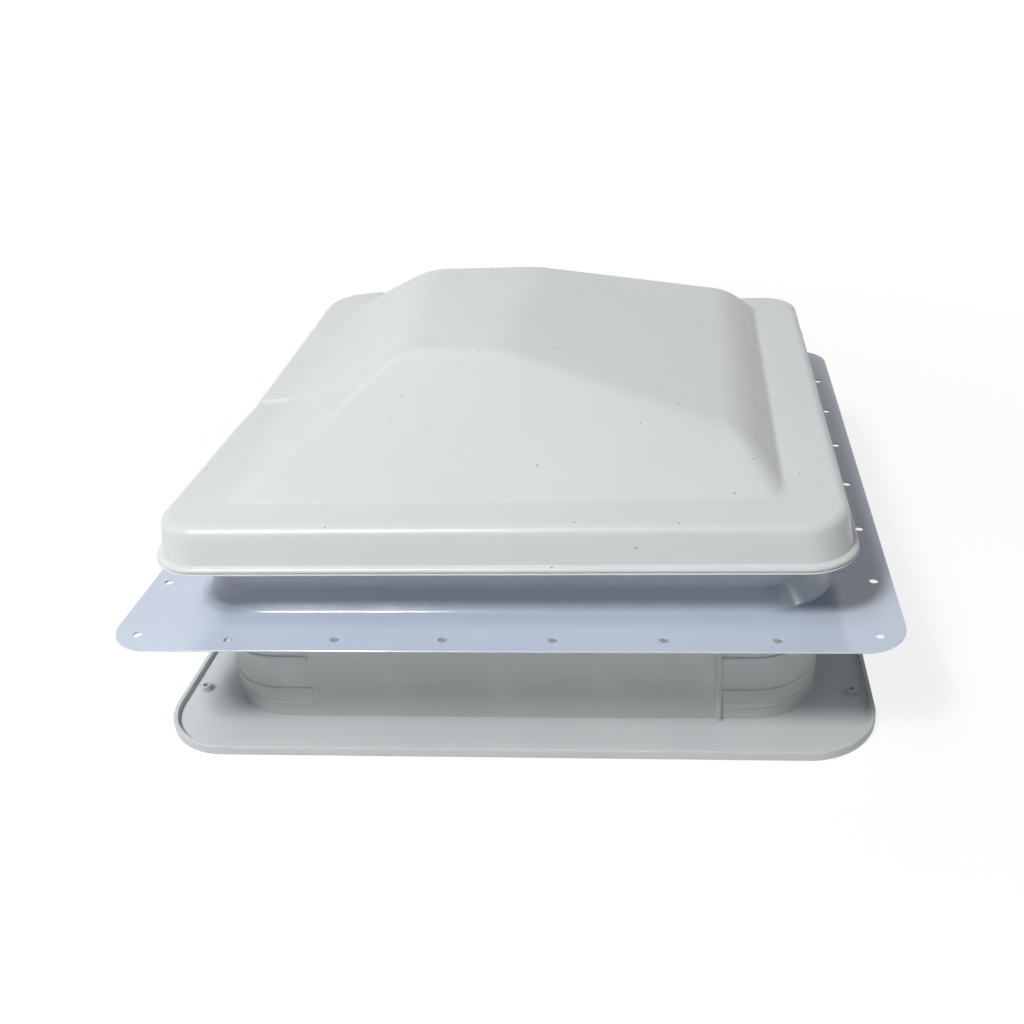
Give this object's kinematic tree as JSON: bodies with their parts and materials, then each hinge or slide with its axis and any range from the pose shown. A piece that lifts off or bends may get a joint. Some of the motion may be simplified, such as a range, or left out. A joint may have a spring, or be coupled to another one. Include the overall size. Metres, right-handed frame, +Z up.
{
  "type": "caravan roof vent",
  "caption": "Square caravan roof vent: crank-lifted hinged lid with a raised form, collar and roof flange, inside trim with sleeve and insect screen.",
  "frame": {"origin": "under the centre of the throat, on the room face of the inside trim", "axes": "+Z up out of the roof, +Y towards the lid's hinges, +X towards the crank's side"},
  "size_m": [0.438, 0.438, 0.1872],
  "materials": {
    "lid_plastic": "weathered satin gloss, fine specks and scuffs",
    "trim_plastic": "fine matte moulding",
    "flange_paint": "gloss enamel, pale blue grey",
    "seal_rubber": "matte black",
    "zinc_steel": "zinc plated",
    "bright_steel": "bright drawn",
    "stainless": "bright",
    "rivet_aluminium": "satin",
    "gear_housing": "fine matte moulding",
    "bush_plastic": "natural, smooth",
    "wheel_plastic": "natural, smooth",
    "roller_plastic": "smooth",
    "knob_plastic": "satin",
    "screen_plastic": "fine matte moulding",
    "net_coated": "coated fibre"
  },
  "bodies": {
    "base": {"roof_flange": "flange_paint", "rim_seal": "seal_rubber", "base_leaf_left": "zinc_steel", "base_leaf_right": "zinc_steel", "hinge_pin_left": "bright_steel", "hinge_pin_right": "bright_steel", "base_leaf_rivets": "rivet_aluminium", "gearbox_housing": "gear_housing", "gearbox_cover": "gear_housing", "cover_screws": "stainless", "housing_rivets": "rivet_aluminium", "cover_bush": "bush_plastic", "housing_bush": "bush_plastic", "lower_worm_bush": "bush_plastic", "upper_worm_bush": "bush_plastic", "inside_trim": "trim_plastic", "screen_frame": "screen_plastic", "screen_net": "net_coated", "screen_screws": "stainless"},
    "lid": {"lid_shell": "lid_plastic", "track_rail": "zinc_steel", "track_screws": "stainless", "lid_leaf_left": "zinc_steel", "lid_leaf_right": "zinc_steel", "lid_leaf_screws": "stainless"},
    "arm": {"lift_arm": "zinc_steel", "arm_shaft": "bright_steel", "worm_wheel": "wheel_plastic", "wheel_pin": "bright_steel", "arm_washer": "stainless", "arm_screw": "stainless", "roller_pin": "bright_steel"},
    "arm_roller": {"roller": "roller_plastic"},
    "crank": {"worm_shaft": "bright_steel", "crank_knob": "knob_plastic", "knob_screw": "stainless"}
  },
  "joints": [
    {"name": "lid_hinge", "type": "hinge", "parent": "base", "child": "lid", "pos_m": [0, 0.1775, 0.119], "axis": [-1, 0, 0], "range_deg": [0, 50]},
    {"name": "arm_pivot", "type": "hinge", "parent": "base", "child": "arm", "pos_m": [0.15, 0.06, 0.103], "axis": [-1, 0, 0], "range_deg": [0, 97]},
    {"name": "roller_spin", "type": "hinge", "parent": "arm", "child": "arm_roller", "pos_m": [0.125, -0.06716, 0.13], "axis": [-1, 0, 0], "range_deg": [-1140.5, 0]},
    {"name": "crank_turn", "type": "hinge", "parent": "base", "child": "crank", "pos_m": [0.15, 0.042, 0.06], "axis": [0, 0, -1], "range_deg": [0, 1940]}
  ],
  "couplings": [
    {"joint": "arm_pivot", "follows": "lid_hinge", "ratio": 1.94},
    {"joint": "roller_spin", "follows": "lid_hinge", "ratio": -22.81},
    {"joint": "crank_turn", "follows": "lid_hinge", "ratio": 38.8}
  ]
}
